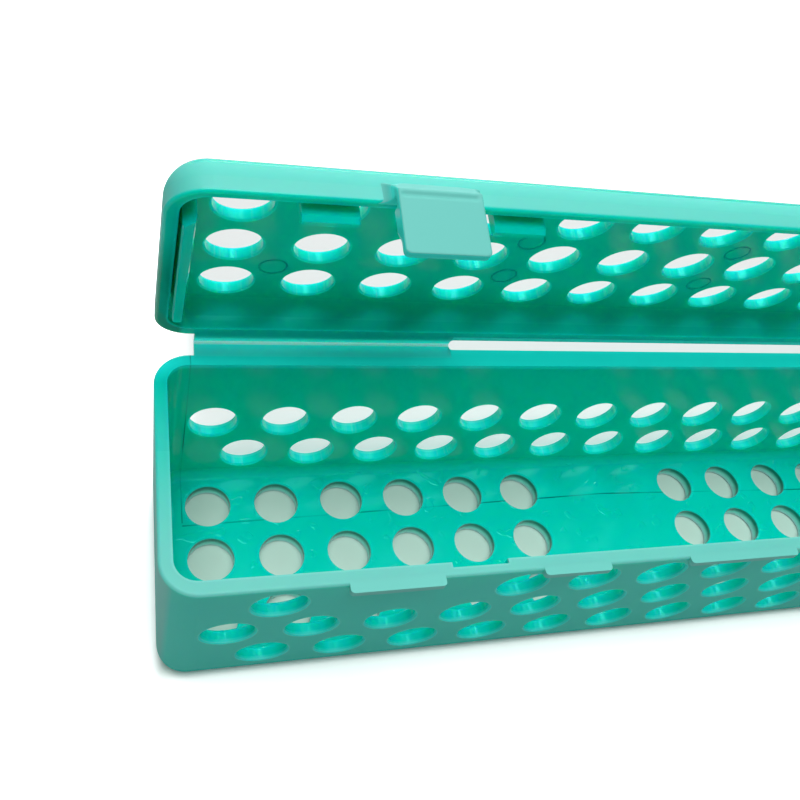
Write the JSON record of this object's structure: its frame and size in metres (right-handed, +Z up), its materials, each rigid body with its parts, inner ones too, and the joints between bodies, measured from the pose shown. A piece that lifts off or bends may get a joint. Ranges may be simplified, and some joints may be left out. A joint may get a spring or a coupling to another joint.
{
  "type": "dental instrument cassette",
  "caption": "Long perforated plastic instrument cassette: open tray, shallow hinged lid on a living hinge, and snap latches on the front edge.",
  "frame": {"origin": "centre of the tray's flat underside", "axes": "+X along the cassette's length, -Y towards the latches, +Z up out of the tray"},
  "size_m": [0.181, 0.0483, 0.0787],
  "materials": {
    "shell": "translucent moulded polypropylene, soft gloss",
    "thin_trim": "translucent moulded polypropylene, thin and bright",
    "latch": "translucent moulded polypropylene, thin and pale",
    "web": "thin folded polypropylene web"
  },
  "bodies": {
    "tray": {"tray_shell": "shell", "hinge_leaf_tray_left": "shell", "hinge_leaf_tray_right": "shell", "rear_lip_tray": "shell", "catch_ledge_left": "thin_trim", "catch_ledge_right": "thin_trim", "finger_pad_left": "thin_trim", "finger_pad_right": "thin_trim", "thumb_pad": "thin_trim", "hinge_web_left": "web", "hinge_web_right": "web"},
    "lid": {"lid_shell": "shell", "hinge_leaf_lid_left": "shell", "hinge_leaf_lid_right": "shell", "rear_lip_lid": "shell", "end_tongue_left": "shell", "end_tongue_right": "shell", "front_tongue_outer_left": "shell", "front_tongue_inner_left": "shell", "front_tongue_inner_right": "shell", "front_tongue_outer_right": "shell", "latch_ramp_left": "latch", "latch_ramp_right": "latch"},
    "latch_left": {"latch_tab_left": "latch"},
    "latch_right": {"latch_tab_right": "latch"}
  },
  "joints": [
    {"name": "lid_hinge", "type": "hinge", "parent": "tray", "child": "lid", "pos_m": [0, 0.0223, 0.03517], "axis": [1, 0, 0], "range_deg": [-105, 75], "deforming": ["hinge_web_left", "hinge_web_right"]},
    {"name": "latch_left_flex", "type": "hinge", "parent": "lid", "child": "latch_left", "pos_m": [-0.0583, 0.01075, 0.07856], "axis": [-1, 0, 0], "range_deg": [0, 16], "stiffness_Nm_per_rad": 0.3},
    {"name": "latch_right_flex", "type": "hinge", "parent": "lid", "child": "latch_right", "pos_m": [0.0583, 0.01075, 0.07856], "axis": [-1, 0, 0], "range_deg": [0, 16], "stiffness_Nm_per_rad": 0.3}
  ]
}
